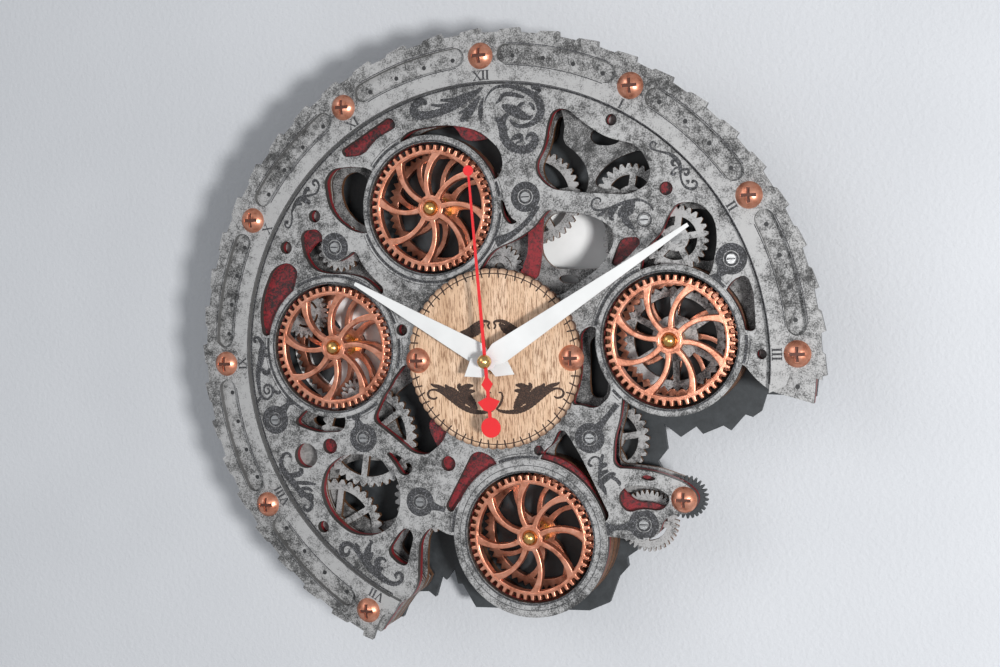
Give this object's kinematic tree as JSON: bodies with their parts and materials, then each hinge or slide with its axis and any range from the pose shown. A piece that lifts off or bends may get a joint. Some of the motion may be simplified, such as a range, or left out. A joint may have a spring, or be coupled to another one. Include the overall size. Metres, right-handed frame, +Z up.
{
  "type": "wall clock",
  "caption": "Round wall clock with a piece bitten out of it, a toothed hour ring, open layered plates, four copper spoked wheels, fixed gears and a wooden disc behind white hands.",
  "frame": {"origin": "on the wall, behind the axis of the hands", "axes": "+X to the viewer's right, +Y into the wall, +Z up; the dial faces -Y"},
  "size_m": [0.3592, 0.0741, 0.34],
  "materials": {
    "aged_silver": "mottled metallic paint",
    "red_paint": "worn matt",
    "brown_board": "matt, burnt edge",
    "charcoal": "matt",
    "copper": "metallic",
    "brass": "polished",
    "light_wood": "matt, burnt drawing",
    "white_paint": "satin",
    "red_plastic": "satin",
    "black_plastic": "matt",
    "belt_rubber": "matt",
    "steel": "satin",
    "cell_wrap": "gloss"
  },
  "bodies": {
    "case": {"chapter_ring": "aged_silver", "front_plate": "aged_silver", "toothed_layer": "aged_silver", "upper_frame": "aged_silver", "gear_posts": "aged_silver", "bridge_plate": "aged_silver", "gear_spoked": "aged_silver", "gear_lower_left": "aged_silver", "gear_lower_middle": "aged_silver", "gear_small_left": "aged_silver", "gear_upper": "aged_silver", "gear_upper_right": "aged_silver", "gear_right": "aged_silver", "gear_below_right": "aged_silver", "gear_arm": "aged_silver", "window_gears": "aged_silver", "red_plate": "red_paint", "lower_frame": "brown_board", "wheel_walls": "brown_board", "back_plate": "charcoal", "gear_arm_end": "charcoal", "wall_feet": "black_plastic", "hanger_plate": "steel", "dial_disc": "light_wood", "axle_bushes": "brass", "drive_belt": "belt_rubber", "gear_motor": "steel", "battery_box": "black_plastic", "battery_cells": "cell_wrap", "white_ring": "white_paint", "top_panel": "white_paint", "copper_screws": "copper", "lug_screws": "steel", "movement_case": "black_plastic", "movement_cover": "black_plastic", "movement_cell": "cell_wrap", "step_motor": "copper", "fixing_nut": "brass"},
    "hour": {"hour_wheel": "white_paint", "hour_hand": "white_paint"},
    "minute": {"minute_wheel": "white_paint", "minute_hand": "white_paint"},
    "seconds": {"seconds_wheel": "white_paint", "second_hand": "red_plastic"},
    "motion": {"motion_wheel": "white_paint"},
    "setting": {"setting_knob": "white_paint"},
    "motor_rotor": {"motor_pulley": "black_plastic"},
    "wheel_top_left": {"front_wheel_top_left": "copper", "rear_wheel_top_left": "copper", "axle_top_left": "brass"},
    "wheel_left": {"front_wheel_left": "copper", "rear_wheel_left": "copper", "axle_left": "brass"},
    "wheel_right": {"front_wheel_right": "copper", "rear_wheel_right": "copper", "axle_right": "brass", "middle_gear": "aged_silver"},
    "wheel_bottom": {"front_wheel_bottom": "copper", "rear_wheel_bottom": "copper", "axle_bottom": "brass"}
  },
  "joints": [
    {"name": "turn_wheel_top_left", "type": "hinge", "parent": "case", "child": "wheel_top_left", "pos_m": [-0.03449, -0.017, 0.08432], "axis": [0, 1, 0], "continuous": true},
    {"name": "turn_wheel_left", "type": "hinge", "parent": "case", "child": "wheel_left", "pos_m": [-0.09801, -0.017, 0.00792], "axis": [0, 1, 0], "continuous": true},
    {"name": "turn_wheel_right", "type": "hinge", "parent": "case", "child": "wheel_right", "pos_m": [0.09752, -0.017, 0.00792], "axis": [0, 1, 0], "continuous": true},
    {"name": "turn_wheel_bottom", "type": "hinge", "parent": "case", "child": "wheel_bottom", "pos_m": [0.01518, -0.017, -0.09966], "axis": [0, 1, 0], "continuous": true},
    {"name": "turn_motor", "type": "hinge", "parent": "case", "child": "motor_rotor", "pos_m": [-0.052, -0.012, -0.057], "axis": [0, 1, 0], "continuous": true},
    {"name": "turn_minute", "type": "hinge", "parent": "case", "child": "minute", "pos_m": [0, -0.05, 0], "axis": [0, 1, 0], "continuous": true},
    {"name": "turn_hour", "type": "hinge", "parent": "case", "child": "hour", "pos_m": [0, -0.05, 0], "axis": [0, 1, 0], "continuous": true},
    {"name": "turn_seconds", "type": "hinge", "parent": "case", "child": "seconds", "pos_m": [0, -0.05, 0], "axis": [0, 1, 0], "continuous": true},
    {"name": "turn_motion", "type": "hinge", "parent": "case", "child": "motion", "pos_m": [0.0084, -0.04, 0], "axis": [0, 1, 0], "continuous": true},
    {"name": "turn_setting", "type": "hinge", "parent": "case", "child": "setting", "pos_m": [0.0168, -0.034, 0], "axis": [0, 1, 0], "continuous": true}
  ],
  "couplings": [
    {"joint": "turn_wheel_top_left", "follows": "turn_wheel_right", "ratio": 1},
    {"joint": "turn_wheel_left", "follows": "turn_wheel_right", "ratio": 1},
    {"joint": "turn_wheel_bottom", "follows": "turn_wheel_right", "ratio": 1},
    {"joint": "turn_motor", "follows": "turn_wheel_right", "ratio": 2},
    {"joint": "turn_hour", "follows": "turn_minute", "ratio": 0.083333},
    {"joint": "turn_seconds", "follows": "turn_minute", "ratio": 60},
    {"joint": "turn_motion", "follows": "turn_minute", "ratio": -0.33333},
    {"joint": "turn_setting", "follows": "turn_minute", "ratio": 1}
  ]
}
